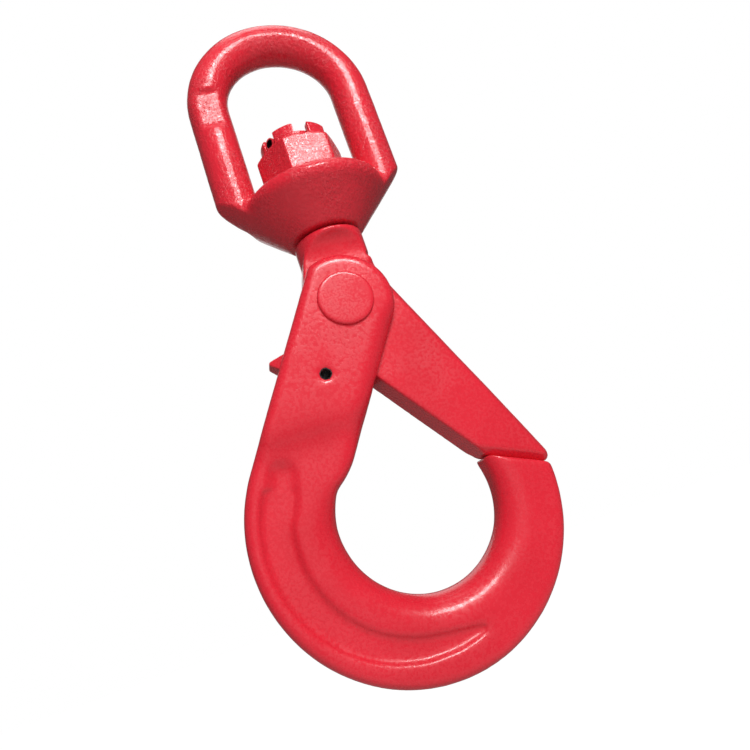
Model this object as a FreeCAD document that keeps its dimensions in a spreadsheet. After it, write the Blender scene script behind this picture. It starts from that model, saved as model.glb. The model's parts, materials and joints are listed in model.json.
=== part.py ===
"""Swivel self-locking hook for a 10 mm chain sling, as a parametric FreeCAD document.

The hook hangs from its swivel eye. +Z points up along the swivel axis, +X points from the hook's back
to its latch, and Y runs across the hook's thickness. The origin is where a chain link or a shackle
bears inside the crown of the swivel eye, and every length is in millimetres.

Four pieces carry the load: the swivel eye, the latch arm whose stem turns in it, the load pin, and the
hook body that turns on that pin. A castle nut, locked by a slotted spring pin, holds the stem in the
eye over a plain washer. A sprung trigger in the hook body's fork stands behind the latch arm's hub, and
its thumb tab is pushed down to let the hook open.
"""

import FreeCAD, Part

import math
import os

from Sketcher import Constraint

os.makedirs("parts", exist_ok=True)
doc = FreeCAD.newDocument("swivel_hook")

# ---------------------------------------------------------------- driving dimensions

CELLS = [
    # swivel eye; a "drop" is measured down from the collar's lower face, a "rise" up from it
    ("eye_half_width", 21.0, "half of the clear width inside the eye"),
    ("bar_dia", 16.0, "round bar of the eye"),
    ("collar_below", 83.3, "from the bearing point of the eye down to the collar's lower face"),
    ("collar_height", 19.0, "height of the conical collar"),
    ("collar_foot_rad", 14.6, "radius of the collar's lower face"),
    ("rim_round", 4.0, "rounding of the collar's rim"),
    ("leg_blend", 2.4, "blend where a leg grows out of the collar"),
    ("swivel_play", 0.3, "radial play of the stem in the collar and the washer"),
    ("flat_rise", 61.5, "middle of the marking flat on one leg"),
    ("flat_length", 17.0, "length of the marking flat"),
    ("flat_depth", 1.5, "depth of the marking flat below the bar's surface"),
    # stem, nut, washer and pins
    ("stem_dia", 20.0, "stem of the latch arm, thread M20"),
    ("stem_end_gap", 0.6, "from the stem's end up to the nut's top"),
    ("thread_pitch", 2.5, "pitch of the thread"),
    ("thread_depth", 1.0, "depth of the thread's grooves"),
    ("thread_play", 0.06, "radial play of the nut on the stem's crests"),
    ("nut_flats", 30.0, "width across the nut's flats"),
    ("nut_height", 22.0, "whole height of the castle nut"),
    ("nut_hex_height", 16.0, "height of its hexagon"),
    ("crown_dia", 28.0, "diameter of the nut's crown"),
    ("crown_slot", 5.6, "width of the crown's slots"),
    ("crown_chamfer", 0.8, "chamfer round the crown's top"),
    ("nut_turn", 5.0, "turn of the nut's front slot about the axis"),
    ("washer_dia", 37.0, "washer's outside"),
    ("washer_thick", 3.0, "washer's thickness"),
    ("seat_gap", 0.1, "gap between washer and nut while the hook hangs free"),
    ("nut_pin_dia", 4.5, "spring pin through nut and stem"),
    ("nut_pin_length", 27.0, "its length"),
    ("nut_pin_above", 2.5, "its axis above the bottom of the crown's slots"),
    ("pin_wall", 0.75, "wall of both spring pins"),
    ("pin_slit", 0.4, "slit of both spring pins, nearly closed in their holes"),
    # latch arm
    ("neck_rad", 13.3, "radius of the neck"),
    ("collar_gap", 0.7, "gap between the collar and the neck"),
    ("neck_scoop_drop", 2.2, "where the neck's faces start to scoop in"),
    ("neck_flank", 10.9, "half width of the arm's plate inside the neck"),
    ("neck_foot_drop", 11.2, "where they reach the arm's faces"),
    ("pivot_x", -3.8, "load pin, sideways from the swivel axis"),
    ("pivot_drop", 30.2, "load pin"),
    ("arm_thick", 15.2, "thickness of the arm"),
    ("hub_rad", 14.9, "radius of the arm's hub"),
    ("edge_lean_in", 37.1, "lean of the latch's inner edge from the swivel axis"),
    ("edge_lean_out", 23.8, "lean of its outer edge"),
    ("edge_reach_out", 21.6, "its outer edge, from the load pin"),
    ("latch_round", 2.6, "rounding of the latch's outer corner"),
    ("latch_bevel", 2.6, "bevel along the latch's outer edge"),
    # hook body
    ("reach", 218.0, "bearing point of the eye to bearing point of the bowl"),
    ("bowl_x", -0.8, "centre of the bowl, sideways"),
    ("bowl_rad", 28.5, "radius inside the bowl"),
    ("outer_x", -5.4, "centre of the outside, sideways"),
    ("outer_drop", 107.4, "centre of the outside"),
    ("outer_rad", 54.5, "radius outside the bowl"),
    ("bowl_thick", 22.0, "thickness of the bowl"),
    ("fork_thick", 28.0, "thickness over the fork's cheeks"),
    ("fork_slot", 16.0, "slot between the cheeks"),
    ("cheek_rad", 18.2, "radius of the cheeks round the load pin"),
    ("shank_lean", 31.2, "lean of the shank from the swivel axis"),
    ("front_lean", 33.0, "lean of the shank's front"),
    ("front_length", 52.0, "length of the front's straight stretch"),
    ("front_swelling", 30.0, "radius of the swelling below it"),
    ("front_turn", 22.0, "turn of the front round the swelling"),
    ("taper_top_drop", 66.0, "where the fork's faces start to slope in"),
    ("taper_foot_drop", 80.0, "where they meet the bowl's faces"),
    ("seam_x", 37.5, "middle of the seam between tip and latch, sideways"),
    ("seam_drop", 101.1, "middle of the seam"),
    ("seam_slope", 22.8, "slope of the seam"),
    ("seam_gap", 0.4, "gap in the seam"),
    ("slot_floor", 36.8, "floor of the slot at the back, along the shank from the load pin"),
    ("slot_mouth", 26.5, "floor of the slot at the front"),
    ("web_depth", 2.0, "depth of the sunk web in both faces of the bowl"),
    ("web_inner", 38.8, "inside radius of the web, about the outside's centre"),
    ("web_outer", 45.3, "outside radius of the web, about its own centre"),
    ("web_shift", 4.1, "its own centre, sideways from the outside's centre"),
    ("web_start", 152.0, "direction in which the web starts"),
    ("web_turn", 262.0, "direction from which its inside runs straight to its narrow end"),
    ("web_run", 17.0, "length of that straight run"),
    ("web_round", 1.0, "rounding of the web's border"),
    ("edge_round", 3.6, "rounding round the border of both faces"),
    # load pin and trigger
    ("load_pin_dia", 14.0, "load pin"),
    ("load_head_dia", 20.4, "its riveted heads"),
    ("load_head_proud", 1.3, "heads proud of the cheeks"),
    ("pin_play", 0.06, "radial play of arm and trigger on their pins"),
    ("trigger_along", 28.8, "trigger pin, along the shank from the load pin"),
    ("trigger_pin_dia", 5.0, "trigger's spring pin"),
    ("trigger_pin_sunk", 0.5, "its ends sunk below the cheeks"),
    ("trigger_boss", 6.0, "radius of the trigger round its pin"),
    ("trigger_thick", 14.4, "trigger's thickness"),
    ("tab_x", -35.4, "tip of the thumb tab, sideways"),
    ("tab_drop", 43.1, "tip of the thumb tab"),
    ("spring_room", 7.0, "room for the spring inside the trigger"),
    ("spring_wire", 1.2, "wire of the trigger's spring"),
    ("spring_rad", 3.9, "mean radius of its coil"),
    ("spring_turns", 4.0, "turns of its coil"),
    ("spring_gap", 0.15, "gap between its turns"),
    ("spring_leg_low", 6.8, "its leg on the hook's fork"),
    ("spring_leg_high", 4.2, "its leg on the trigger"),
]

sheet = doc.addObject("Spreadsheet::Sheet", "Sheet")
for row, (alias, value, note) in enumerate(CELLS, start=1):
    sheet.set(f"A{row}", note)
    sheet.set(f"B{row}", str(value))
    sheet.setAlias(f"B{row}", alias)
doc.recompute()


class Dim:
    """A length or an angle that knows its number and the expression that gives it from the sheet."""

    def __init__(self, value, text):
        self.value = float(value)
        self.text = text

    def __add__(self, other):
        other = dim(other)
        return Dim(self.value + other.value, f"({self.text} + {other.text})")

    def __sub__(self, other):
        other = dim(other)
        return Dim(self.value - other.value, f"({self.text} - {other.text})")

    def __mul__(self, other):
        other = dim(other)
        return Dim(self.value * other.value, f"({self.text} * {other.text})")

    def __truediv__(self, other):
        other = dim(other)
        return Dim(self.value / other.value, f"({self.text} / {other.text})")

    def __neg__(self):
        return Dim(-self.value, f"(0 - {self.text})")

    __radd__ = __add__
    __rmul__ = __mul__


def dim(thing):
    """A Dim for a cell's alias, for a plain number, or the Dim itself."""
    if isinstance(thing, Dim):
        return thing
    if isinstance(thing, str):
        return Dim(sheet.get(thing), f"Sheet.{thing}")
    return Dim(thing, repr(float(thing)))


def sine(angle):
    angle = dim(angle)
    return Dim(math.sin(math.radians(angle.value)), f"sin({angle.text} * 1 deg)")


def cosine(angle):
    angle = dim(angle)
    return Dim(math.cos(math.radians(angle.value)), f"cos({angle.text} * 1 deg)")


def root(square):
    return Dim(math.sqrt(square.value), f"sqrt({square.text})")


def tangent(angle):
    angle = dim(angle)
    return Dim(math.tan(math.radians(angle.value)), f"tan({angle.text} * 1 deg)")


# ---------------------------------------------------------------- sketch and feature helpers


def new_body(label):
    body = doc.addObject("PartDesign::Body", "body_" + label)
    body.Label = label
    return body


def origin_plane(body, role):
    for feature in body.Origin.OriginFeatures:
        if feature.Role == role:
            return feature
    raise ValueError(f"no origin plane {role}")


def new_sketch(body, plane, name, offset=None):
    """A sketch on an origin plane of the body, moved along the plane's normal by offset."""
    sketch = body.newObject("Sketcher::SketchObject", name)
    sketch.AttachmentSupport = [(origin_plane(body, plane), "")]
    sketch.MapMode = "FlatFace"
    if offset is not None:
        offset = dim(offset)
        sketch.AttachmentOffset = FreeCAD.Placement(
            FreeCAD.Vector(0, 0, offset.value), FreeCAD.Rotation()
        )
        sketch.setExpression("AttachmentOffset.Base.z", offset.text)
    return sketch


def constrain(sketch, kind, *where, size):
    size = dim(size)
    index = sketch.addConstraint(Constraint(kind, *where, size.value))
    sketch.setExpression(f"Constraints[{index}]", size.text)


def place_point(sketch, geometry, position, point):
    constrain(sketch, "DistanceX", -1, 1, geometry, position, size=point[0])
    constrain(sketch, "DistanceY", -1, 1, geometry, position, size=point[1])


def circle(sketch, centre, radius):
    centre = (dim(centre[0]), dim(centre[1]))
    radius = dim(radius)
    middle = FreeCAD.Vector(centre[0].value, centre[1].value, 0)
    index = sketch.addGeometry(
        Part.Circle(middle, FreeCAD.Vector(0, 0, 1), radius.value), False
    )
    place_point(sketch, index, 3, centre)
    constrain(sketch, "Radius", index, size=radius)
    return index


def outline(sketch, points, closed=True):
    """Lines and arcs through the points. A point is (x, y), or (x, y, radius) when the stretch that
    arrives there is an arc: a positive radius bulges to the right of the way, a negative one to the
    left, and a fourth item True takes the longer way round."""
    points = [tuple(dim(v) for v in p[:3]) + tuple(p[3:]) for p in points]
    count = len(points)
    ends = []
    for i in range(count if closed else count - 1):
        start, end = points[i], points[(i + 1) % count]
        a = FreeCAD.Vector(start[0].value, start[1].value, 0)
        b = FreeCAD.Vector(end[0].value, end[1].value, 0)
        if len(end) == 2:
            index = sketch.addGeometry(Part.LineSegment(a, b), False)
            ends.append((index, 1, 2))
            place_point(sketch, index, 2, end)
            continue
        radius = end[2]
        longer = len(end) > 3 and end[3]
        chord = b - a
        half = chord.Length / 2
        side = math.sqrt(max(radius.value**2 - half**2, 0))
        left = FreeCAD.Vector(-chord.y, chord.x, 0).normalize()
        turn = 1 if radius.value > 0 else -1
        centre = (a + b) * 0.5 + left * (side * turn * (-1 if longer else 1))
        angle_a = math.atan2(a.y - centre.y, a.x - centre.x)
        angle_b = math.atan2(b.y - centre.y, b.x - centre.x)
        round_curve = Part.Circle(centre, FreeCAD.Vector(0, 0, 1), abs(radius.value))
        if turn > 0:
            arc = Part.ArcOfCircle(round_curve, angle_a, angle_b)
            first, last = 1, 2
        else:
            arc = Part.ArcOfCircle(round_curve, angle_b, angle_a)
            first, last = 2, 1
        index = sketch.addGeometry(arc, False)
        ends.append((index, first, last))
        place_point(sketch, index, last, end)
        if half > 0.99999 * abs(radius.value):
            constrain(sketch, "DistanceY", -1, 1, index, 3, size=end[1])
        else:
            constrain(sketch, "Radius", index, size=radius if turn > 0 else -radius)
    if not closed:
        place_point(sketch, ends[0][0], ends[0][1], points[0])
    for (one, _, last), (two, first, _) in zip(ends, ends[1:] + ends[:1] if closed else ends[1:]):
        sketch.addConstraint(Constraint("Coincident", one, last, two, first))


def pad(body, sketch, length, name, symmetric=True):
    feature = body.newObject("PartDesign::Pad", name)
    feature.Profile = sketch
    feature.Midplane = symmetric
    size = dim(length)
    feature.Length = size.value
    feature.setExpression("Length", size.text)
    return feature


def pocket(body, sketch, length, name, symmetric=True, back=False):
    feature = body.newObject("PartDesign::Pocket", name)
    feature.Profile = sketch
    feature.Midplane = symmetric
    feature.Reversed = back
    size = dim(length)
    feature.Length = size.value
    feature.setExpression("Length", size.text)
    return feature


def turned(body, sketch, name, cut=False):
    """The sketch turned a full circle round its own vertical axis."""
    kind = "PartDesign::Groove" if cut else "PartDesign::Revolution"
    feature = body.newObject(kind, name)
    feature.Profile = sketch
    feature.ReferenceAxis = (sketch, ["V_Axis"])
    feature.Angle = 360
    return feature


def finish_edges(body, base, kind, size, chosen, name):
    """A Fillet or a Chamfer on the edges of the body's tip that the test picks."""
    doc.recompute()
    names = [f"Edge{i}" for i, e in enumerate(base.Shape.Edges, start=1) if chosen(e)]
    if not names:
        raise ValueError(f"{name}: no edge fits")
    feature = body.newObject("PartDesign::" + kind, name)
    feature.Base = (base, names)
    prop = "Radius" if kind == "Fillet" else "Size"
    size = dim(size)
    setattr(feature, prop, size.value)
    feature.setExpression(prop, size.text)
    return feature


def polar(centre, radius, angle):
    """The point at this radius and direction from a centre, in the X-Z plane."""
    radius = dim(radius)
    return (centre[0] + radius * cosine(angle), centre[1] + radius * sine(angle))


def shift(point, x, z):
    return (point[0] + x, point[1] + z)


def meet(one, lean_one, two, lean_two):
    """Where two lines cross. Each goes through a point in the direction of a lean, which is measured
    from straight down towards +X."""
    ux, uz = sine(lean_one), -cosine(lean_one)
    vx, vz = sine(lean_two), -cosine(lean_two)
    gap_x, gap_z = two[0] - one[0], two[1] - one[1]
    way = (gap_x * vz - gap_z * vx) / (ux * vz - uz * vx)
    return (one[0] + way * ux, one[1] + way * uz)


def along(start, lean, distance):
    return (start[0] + dim(distance) * sine(lean), start[1] - dim(distance) * cosine(lean))


def drop(distance):
    """The height of something that lies this far below the collar's lower face."""
    return -dim("collar_below") - distance


def rise(distance):
    return dim(distance) - dim("collar_below")


def move(thing, x=0, y=0, z=0):
    """Put a body somewhere, each coordinate bound to the sheet."""
    x, y, z = dim(x), dim(y), dim(z)
    thing.Placement = FreeCAD.Placement(FreeCAD.Vector(x.value, y.value, z.value), thing.Placement.Rotation)
    for axis, size in zip("xyz", (x, y, z)):
        thing.setExpression(f"Placement.Base.{axis}", size.text)


# ---------------------------------------------------------------- points that several pieces share

PIVOT = (dim("pivot_x"), drop(dim("pivot_drop")))
BOWL = (dim("bowl_x"), dim("bowl_rad") - dim("reach"))
OUTER = (dim("outer_x"), drop(dim("outer_drop")))
SHANK_LEAN = -dim("shank_lean")
TRIGGER = along(PIVOT, SHANK_LEAN, "trigger_along")
SEAM = (dim("seam_x"), drop(dim("seam_drop")))
SEAM_LEAN = dim(90) - dim("seam_slope")
COLLAR_TOP = rise(dim("collar_height"))
NUT_SEAT = COLLAR_TOP + dim("washer_thick") + dim("seat_gap")
NUT_TOP = NUT_SEAT + dim("nut_height")
SLOT_BOTTOM = NUT_SEAT + dim("nut_hex_height")


# ---------------------------------------------------------------- swivel eye


def make_bail():
    body = new_body("bail")
    half_bar = dim("bar_dia") / 2
    foot = dim("collar_foot_rad")
    leg_x = dim("eye_half_width") + half_bar
    bottom = drop(0)

    collar = new_sketch(body, "XZ_Plane", "collar_profile")
    outline(collar, [
        (0, bottom), (foot, bottom),
        (foot + dim("collar_height"), COLLAR_TOP), (0, COLLAR_TOP),
    ])
    turned(body, collar, "collar")
    finish_edges(
        body, body.Tip, "Fillet", "rim_round",
        lambda e: e.BoundBox.ZMin > COLLAR_TOP.value - 0.1 and e.BoundBox.XLength > 40, "rim",
    )

    path = new_sketch(body, "XZ_Plane", "eye_path")
    crown = -(dim("eye_half_width"))
    outline(path, [
        (leg_x, rise(3)), (leg_x, crown), (-leg_x, crown, leg_x), (-leg_x, rise(3)),
    ], closed=False)
    section = new_sketch(body, "XY_Plane", "bar_section", offset=rise(3))
    circle(section, (leg_x, 0), half_bar)
    pipe = body.newObject("PartDesign::AdditivePipe", "eye")
    pipe.Profile = section
    pipe.Spine = path

    def at_leg_foot(edge):
        box = edge.BoundBox
        return abs(box.ZMax - COLLAR_TOP.value) < 1 and abs((box.XMin + box.XMax) / 2) > 15 \
            and box.XLength < 20 and box.YLength > 2
    finish_edges(body, body.Tip, "Fillet", "leg_blend", at_leg_foot, "leg_foot_blend")

    under = new_sketch(body, "XZ_Plane", "cone_below_legs")
    far = leg_x + dim("bar_dia")
    outline(under, [
        (foot, bottom), (foot, bottom - 5), (far, bottom - 5), (far, bottom + far - foot),
    ])
    turned(body, under, "legs_cut_to_the_cone", cut=True)

    bore = new_sketch(body, "XY_Plane", "bore_circle", offset=COLLAR_TOP + 1)
    circle(bore, (0, 0), dim("stem_dia") / 2 + dim("swivel_play"))
    pocket(body, bore, dim("collar_height") + 10, "bore", symmetric=False)

    flat = new_sketch(body, "XZ_Plane", "flat_outline", offset=half_bar - dim("flat_depth"))
    low = rise(dim("flat_rise") - dim("flat_length") / 2)
    high = rise(dim("flat_rise") + dim("flat_length") / 2)
    outline(flat, [
        (-leg_x - half_bar, low), (-leg_x + half_bar, low),
        (-leg_x + half_bar, high), (-leg_x - half_bar, high),
    ])
    pocket(body, flat, 5, "marking_flat", symmetric=False, back=True)
    doc.recompute()
    return body


# ---------------------------------------------------------------- washer, nut and the nut's pin


def make_washer():
    body = new_body("thrust_washer")
    ring = new_sketch(body, "XZ_Plane", "ring_profile")
    inside = dim("stem_dia") / 2 + dim("swivel_play")
    outside = dim("washer_dia") / 2
    top = COLLAR_TOP + dim("washer_thick")
    outline(ring, [
        (inside, COLLAR_TOP), (outside, COLLAR_TOP), (outside, top - 0.6),
        (outside - 0.6, top), (inside, top),
    ])
    turned(body, ring, "ring")
    return body


def make_nut():
    body = new_body("castle_nut")
    hexagon = new_sketch(body, "XY_Plane", "hexagon", offset=NUT_SEAT)
    corner = dim("nut_flats") / 2 / cosine(30)
    outline(hexagon, [polar((dim(0), dim(0)), corner, 60 * i) for i in range(6)])
    pad(body, hexagon, "nut_hex_height", "hexagon_prism", symmetric=False)
    crown = new_sketch(body, "XY_Plane", "crown_circle", offset=SLOT_BOTTOM - 0.5)
    circle(crown, (0, 0), dim("crown_dia") / 2)
    pad(body, crown, dim("nut_height") - dim("nut_hex_height") + 0.5, "crown", symmetric=False)

    corners = new_sketch(body, "XZ_Plane", "corner_chamfer")
    flat = dim("nut_flats") / 2
    far = corner + 2
    slope = (far - flat) * tangent(30)
    outline(corners, [(flat, SLOT_BOTTOM), (far, SLOT_BOTTOM - slope), (far, SLOT_BOTTOM)])
    outline(corners, [
        (flat, NUT_SEAT), (far, NUT_SEAT + slope), (far, NUT_SEAT - 3), (flat, NUT_SEAT - 3),
    ])
    turned(body, corners, "corner_chamfers", cut=True)

    slots = new_sketch(body, "XY_Plane", "slot_outline", offset=SLOT_BOTTOM)
    half = dim("crown_slot") / 2
    outline(slots, [(-half, -far), (half, -far), (half, far), (-half, far)])
    slot = pocket(body, slots, 10, "slot", symmetric=False, back=True)
    doc.recompute()
    ring = body.newObject("PartDesign::PolarPattern", "six_slots")
    ring.Originals = [slot]
    ring.Axis = (slots, ["N_Axis"])
    ring.Mode = "Extent"
    ring.Angle = 120
    ring.Occurrences = 3
    body.Tip = ring

    bore = new_sketch(body, "XY_Plane", "thread_circle", offset=NUT_TOP + 1)
    circle(bore, (0, 0), dim("stem_dia") / 2 + dim("thread_play"))
    pocket(body, bore, dim("nut_height") + 10, "threaded_bore", symmetric=False)
    doc.recompute()

    def round_the_crown(edge):
        """The crown's outer edges at its top."""
        start = edge.Vertexes[0].Point
        on_top = edge.BoundBox.ZLength < 0.01 and abs(start.z - NUT_TOP.value) < 0.01
        return on_top and type(edge.Curve) is Part.Circle \
            and abs(edge.Curve.Radius - sheet.get("crown_dia") / 2) < 0.01

    finish_edges(body, body.Tip, "Chamfer", "crown_chamfer", round_the_crown, "crown_chamfer")
    body.Placement.Rotation = FreeCAD.Rotation(FreeCAD.Vector(0, 0, 1), sheet.get("nut_turn"))
    body.setExpression("Placement.Rotation.Angle", "Sheet.nut_turn * 1 deg")
    return body


def make_spring_pin(label, dia, length):
    """A slotted spring pin along Y about its own origin."""
    body = new_body(label)
    dia, length = dim(dia), dim(length)
    tube = new_sketch(body, "XZ_Plane", "tube_section")
    circle(tube, (0, 0), dia / 2)
    circle(tube, (0, 0), dia / 2 - dim("pin_wall"))
    pad(body, tube, length, "tube")
    slit = new_sketch(body, "XZ_Plane", "slit_section")
    half = dim("pin_slit") / 2
    outline(slit, [(-half, -dia), (half, -dia), (half, 0), (-half, 0)])
    pocket(body, slit, length + 2, "slit")
    return body


# ---------------------------------------------------------------- latch arm


def make_latch_arm():
    body = new_body("latch_arm")
    neck = dim("neck_rad")
    stem = dim("stem_dia") / 2
    top = NUT_TOP - dim("stem_end_gap")
    shoulder = drop(dim("collar_gap"))
    foot = drop(dim("neck_foot_drop"))
    half_arm = dim("arm_thick") / 2

    stem_sketch = new_sketch(body, "XZ_Plane", "stem_profile")
    outline(stem_sketch, [
        (0, foot), (neck, foot), (neck, shoulder - 1), (neck - 1, shoulder, 1.0),
        (stem, shoulder), (stem, top - 1.2), (stem - 1.2, top), (0, top),
    ])
    turned(body, stem_sketch, "stem_and_neck")

    scoop = new_sketch(body, "YZ_Plane", "neck_scoop_profile")
    high = drop(dim("neck_scoop_drop"))
    scoop_rad = dim("neck_foot_drop") - dim("neck_scoop_drop") + 1.2
    for side in (1, -1):
        outline(scoop, [
            (half_arm * side, foot), (neck * side + 0.4 * side, high, -scoop_rad * side),
            (neck * side + 4 * side, high), (neck * side + 4 * side, foot - 1),
            (half_arm * side, foot - 1),
        ])
    pocket(body, scoop, 60, "neck_scoop")

    hub = dim("hub_rad")
    lean_in, lean_out = dim("edge_lean_in"), dim("edge_lean_out")
    heel = polar(PIVOT, hub, dim(180) + lean_in)
    shoulder_out = polar(PIVOT, dim("edge_reach_out"), lean_out)
    end_face = shift(SEAM, dim("seam_gap") * sine("seam_slope"), dim("seam_gap") * cosine("seam_slope"))
    inner = meet(heel, lean_in, end_face, SEAM_LEAN)
    corner = meet(shoulder_out, lean_out, end_face, SEAM_LEAN)
    cut_back = dim("latch_round") / tangent((SEAM_LEAN - lean_out) / 2)
    flank = dim("neck_flank")
    below_neck = (flank, foot - 1)
    profile = new_sketch(body, "XZ_Plane", "arm_profile")
    outline(profile, [
        (-flank, drop(5.0)),
        (-neck + 0.2, drop(10.5)),
        (-neck - 1.7, drop(17.0)),
        polar(PIVOT, hub, 141.0),
        heel + (hub,),
        inner,
        along(corner, SEAM_LEAN, -cut_back),
        along(corner, lean_out, -cut_back) + (dim("latch_round"),),
        meet(shoulder_out, lean_out, below_neck, 36.0),
        below_neck,
        (flank, drop(5.0)),
    ])
    pad(body, profile, "arm_thick", "arm")

    groove = new_sketch(body, "XZ_Plane", "thread_groove")
    pitch = dim("thread_pitch")
    groove_foot = stem - dim("thread_depth")
    outline(groove, [
        (groove_foot, NUT_SEAT - 0.15), (stem + 0.4, NUT_SEAT - pitch * 0.46),
        (stem + 0.4, NUT_SEAT + pitch * 0.46), (groove_foot, NUT_SEAT + 0.15),
    ])
    thread = body.newObject("PartDesign::SubtractiveHelix", "thread")
    thread.Profile = groove
    thread.ReferenceAxis = (groove, ["V_Axis"])
    thread.Mode = "pitch-height-angle"
    thread.Angle = 0
    thread.setExpression("Pitch", pitch.text)
    thread.setExpression("Height", (dim("nut_height") + pitch).text)
    return body, half_arm


def finish_latch_arm(body, half_arm):
    def on_outer_edge(edge):
        box = edge.BoundBox
        return box.YLength < 0.01 and abs(abs(box.YMin) - half_arm.value) < 0.01 \
            and box.XMax > 45 and box.ZLength > 60 and box.XMin > 5
    finish_edges(body, body.Tip, "Chamfer", "latch_bevel", on_outer_edge, "outer_bevel")

    hole = new_sketch(body, "XZ_Plane", "pivot_hole_circle")
    circle(hole, PIVOT, dim("load_pin_dia") / 2 + dim("pin_play"))
    pocket(body, hole, dim("arm_thick") + 10, "pivot_hole")

    pin_hole = new_sketch(body, "XZ_Plane", "nut_pin_hole_circle")
    turn = dim("nut_turn") + 120
    pin_hole.AttachmentOffset = FreeCAD.Placement(
        FreeCAD.Vector(), FreeCAD.Rotation(FreeCAD.Vector(0, 1, 0), turn.value)
    )
    pin_hole.setExpression("AttachmentOffset.Rotation.Angle", f"{turn.text} * 1 deg")
    circle(pin_hole, (0, SLOT_BOTTOM + dim("nut_pin_above")), dim("nut_pin_dia") / 2 + 0.03)
    pocket(body, pin_hole, dim("stem_dia") + 10, "nut_pin_hole")


# ---------------------------------------------------------------- hook body


def make_hook_body():
    body = new_body("hook_body")
    fork, bowl = dim("fork_thick"), dim("bowl_thick")
    cheek = dim("cheek_rad")
    lean = SHANK_LEAN
    front_lean = -dim("front_lean")
    # The back is a straight line that runs into the outside's arc without a corner.
    across = dim(180) - dim("shank_lean")
    back_low = polar(OUTER, "outer_rad", across)
    gap_x, gap_z = OUTER[0] - PIVOT[0], OUTER[1] - PIVOT[1]
    back_reach = dim("outer_rad") + gap_x * cosine(across) + gap_z * sine(across)
    half_chord = root(cheek * cheek - back_reach * back_reach)
    back_top = along(polar(PIVOT, back_reach, across), lean, -half_chord)

    # The front is a straight line, a swelling and a hollow that runs into the bowl's arc.
    front_top = polar(PIVOT, cheek, front_lean)
    front_low = along(front_top, front_lean, "front_length")
    swelling, swell_lean = dim("front_swelling"), front_lean - dim("front_turn")
    throat = shift(
        front_low,
        swelling * (cosine(swell_lean) - cosine(front_lean)),
        swelling * (sine(swell_lean) - sine(front_lean)),
    )
    side_x, side_z = cosine(swell_lean), sine(swell_lean)
    from_x, from_z = throat[0] - BOWL[0], throat[1] - BOWL[1]
    bowl_rad = dim("bowl_rad")
    hollow = (bowl_rad * bowl_rad - from_x * from_x - from_z * from_z) / (
        (from_x * side_x + from_z * side_z + bowl_rad) * 2
    )
    reach = bowl_rad / (bowl_rad - hollow)
    throat_low = (
        BOWL[0] + (from_x + hollow * side_x) * reach,
        BOWL[1] + (from_z + hollow * side_z) * reach,
    )
    tip_in = polar(BOWL, "bowl_rad", 20.8)
    tip_out = meet(SEAM, SEAM_LEAN, polar(OUTER, "outer_rad", 1.4), 0)
    blank = new_sketch(body, "XZ_Plane", "hook_outline")
    outline(blank, [
        back_top + (cheek,),
        back_low,
        tip_out + (dim("outer_rad"), True),
        tip_in,
        throat_low + (-bowl_rad, True),
        throat + (-hollow,),
        front_low + (swelling,),
        front_top,
    ])
    pad(body, blank, fork, "blank")

    taper = new_sketch(body, "YZ_Plane", "taper_profile")
    slope_top, slope_foot = drop(dim("taper_top_drop")), drop(dim("taper_foot_drop"))
    bottom = OUTER[1] - dim("outer_rad") - 5
    step, length = (fork - bowl) / 2, slope_top - slope_foot
    swell = (length * length + step * step) / (step * 4)
    for side in (1, -1):
        outline(taper, [
            (fork / 2 * side, slope_top),
            ((fork + bowl) / 4 * side, (slope_top + slope_foot) / 2, swell * -side),
            (bowl / 2 * side, slope_foot, swell * side),
            (bowl / 2 * side, bottom),
            ((fork / 2 + 5) * side, bottom), ((fork / 2 + 5) * side, slope_top),
        ])
    pocket(body, taper, 200, "faces_tapered")

    def along_the_border(edge):
        """Edges round the hook's outline on both faces, but not the tip's end or the tapers' feet."""
        box = edge.BoundBox
        on_a_face = box.YMin * box.YMax > 0 and box.YLength < bowl.value / 2
        at_the_tip = box.XMin > BOWL[0].value + 20 and box.ZMin > BOWL[1].value - 5
        return on_a_face and box.ZLength > 0.01 and not (at_the_tip and type(edge.Curve) is Part.Line)

    finish_edges(body, body.Tip, "Fillet", "edge_round", along_the_border, "border_round")

    web = new_sketch(body, "XZ_Plane", "web_outline", offset=bowl / 2)
    outline(web, web_points())
    pocket(body, web, "web_depth", "web_front", symmetric=False)
    web_back = new_sketch(body, "XZ_Plane", "web_outline_back", offset=-bowl / 2)
    outline(web_back, web_points())
    pocket(body, web_back, "web_depth", "web_back", symmetric=False, back=True)

    def on_web_border(edge):
        """Edges where the sunk webs meet the bowl's faces."""
        box = edge.BoundBox
        level = abs(abs(box.YMin) - bowl.value / 2) < 0.01 and box.YLength < 0.01
        middle = edge.valueAt((edge.FirstParameter + edge.LastParameter) / 2)
        far = math.hypot(middle.x - OUTER[0].value, middle.z - OUTER[1].value)
        rim = sheet.get("outer_rad") - sheet.get("edge_round") - 0.3
        near = math.hypot(middle.x - BOWL[0].value, middle.z - BOWL[1].value)
        return level and far < rim and near > sheet.get("bowl_rad") + sheet.get("edge_round") + 0.5 \
            and middle.z < slope_foot.value - 1.0

    finish_edges(body, body.Tip, "Fillet", "web_round", on_web_border, "web_border_round")

    slot = new_sketch(body, "XZ_Plane", "fork_slot_outline")
    floor_back = along(polar(PIVOT, 30, dim(180) - dim("shank_lean")), lean, "slot_floor")
    floor_middle = along(polar(PIVOT, 2, -dim("shank_lean")), lean, "slot_floor")
    floor_front = along(polar(PIVOT, cheek + 1, -dim("shank_lean")), lean, "slot_mouth")
    outline(slot, [
        floor_back, floor_middle, floor_front,
        along(floor_front, lean, -70), along(floor_back, lean, -80),
    ])
    pocket(body, slot, "fork_slot", "fork_slot")

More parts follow.
